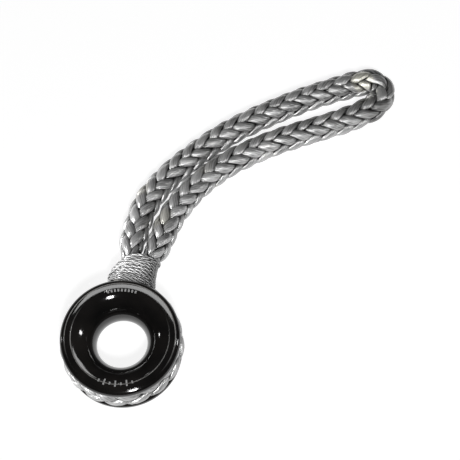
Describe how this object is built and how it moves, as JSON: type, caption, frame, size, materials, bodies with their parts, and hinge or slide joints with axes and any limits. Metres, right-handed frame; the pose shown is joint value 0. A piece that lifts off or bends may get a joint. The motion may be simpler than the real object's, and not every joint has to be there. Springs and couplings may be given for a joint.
{
  "type": "thimble eye",
  "caption": "Low-friction thimble ring with a flared throat, seized with twine into the eye of an endless braided rope loop.",
  "frame": {"origin": "on the ring's axis at its back face, which lies on the table", "axes": "+Z along the ring's axis, away from the table; +Y from the ring towards the seizing; +X to the right of that seen from above, the side that the loop curves to"},
  "size_m": [0.085, 0.1154, 0.016],
  "materials": {
    "black_anodised": "glossy black hard-anodised aluminium, polished",
    "grey_braid": "grey coated high-modulus fibre, 12-strand hollow braid, silky along the fibres",
    "buried_braid": "the same braid buried in the hollow of the cover, uncoated where the splice hides it",
    "pale_twine": "pale grey two-ply waxed whipping twine"
  },
  "bodies": {
    "thimble": {"thimble_ring": "black_anodised"},
    "eye": {"braid_eye": "grey_braid", "seizing_turns": "pale_twine", "seizing_rider": "pale_twine", "braid_root_left": "grey_braid", "braid_root_right": "grey_braid"},
    "lower_loop": {"braid_lower_left": "grey_braid", "braid_lower_right": "grey_braid", "tail_lower_left": "buried_braid", "tail_lower_right": "buried_braid", "braid_bend_left": "grey_braid", "braid_bend_right": "grey_braid", "tail_bend_left": "buried_braid", "tail_bend_right": "buried_braid"},
    "upper_loop": {"braid_upper_left": "grey_braid", "braid_upper_right": "grey_braid", "tail_upper_left": "buried_braid", "tail_upper_right": "buried_braid", "braid_bight": "grey_braid"}
  },
  "joints": [
    {"name": "eye_swivel", "type": "hinge", "parent": "thimble", "child": "eye", "pos_m": [0, 0, 0.008], "axis": [0, 0, 1], "continuous": true},
    {"name": "loop_lift", "type": "hinge", "parent": "eye", "child": "lower_loop", "pos_m": [0.0018, 0.034, 0.0072], "axis": [1, 0, 0], "range_deg": [0, 90], "deforming": ["braid_root_left", "braid_root_right"]},
    {"name": "loop_swing", "type": "hinge", "parent": "lower_loop", "child": "upper_loop", "pos_m": [0.0164, 0.0622, 0.0041], "axis": [0, 0, 1], "range_deg": [-30, 60], "deforming": ["braid_bend_left", "braid_bend_right", "tail_bend_left", "tail_bend_right"]}
  ]
}
